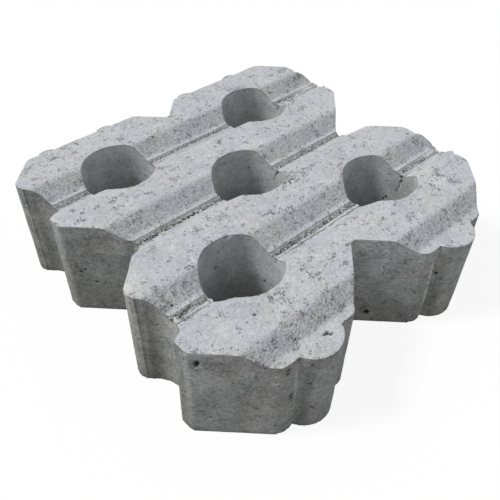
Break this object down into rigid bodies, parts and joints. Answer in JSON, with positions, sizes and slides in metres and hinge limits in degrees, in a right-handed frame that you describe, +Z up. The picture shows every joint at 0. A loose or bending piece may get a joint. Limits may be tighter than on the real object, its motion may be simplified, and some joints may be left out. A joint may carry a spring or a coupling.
{
  "type": "concrete grass-grid paving stone",
  "caption": "Square pressed concrete paving stone with a ridged top, round planting holes, diamond side pockets and interlocking tabs, laid as a permeable grassed surface.",
  "frame": {"origin": "axis of the middle planting hole, in the base plane that the stone lies on", "axes": "+Z up out of the ridged top, X along the ridges with tabs on the +X side, Y across the ridges with tabs on the -Y side"},
  "size_m": [0.4175, 0.4174, 0.12],
  "materials": {
    "concrete": "rough grey cast concrete, fine pores, paler on the pressed top"
  },
  "bodies": {
    "root": {"paving_stone": "concrete"}
  },
  "joints": []
}
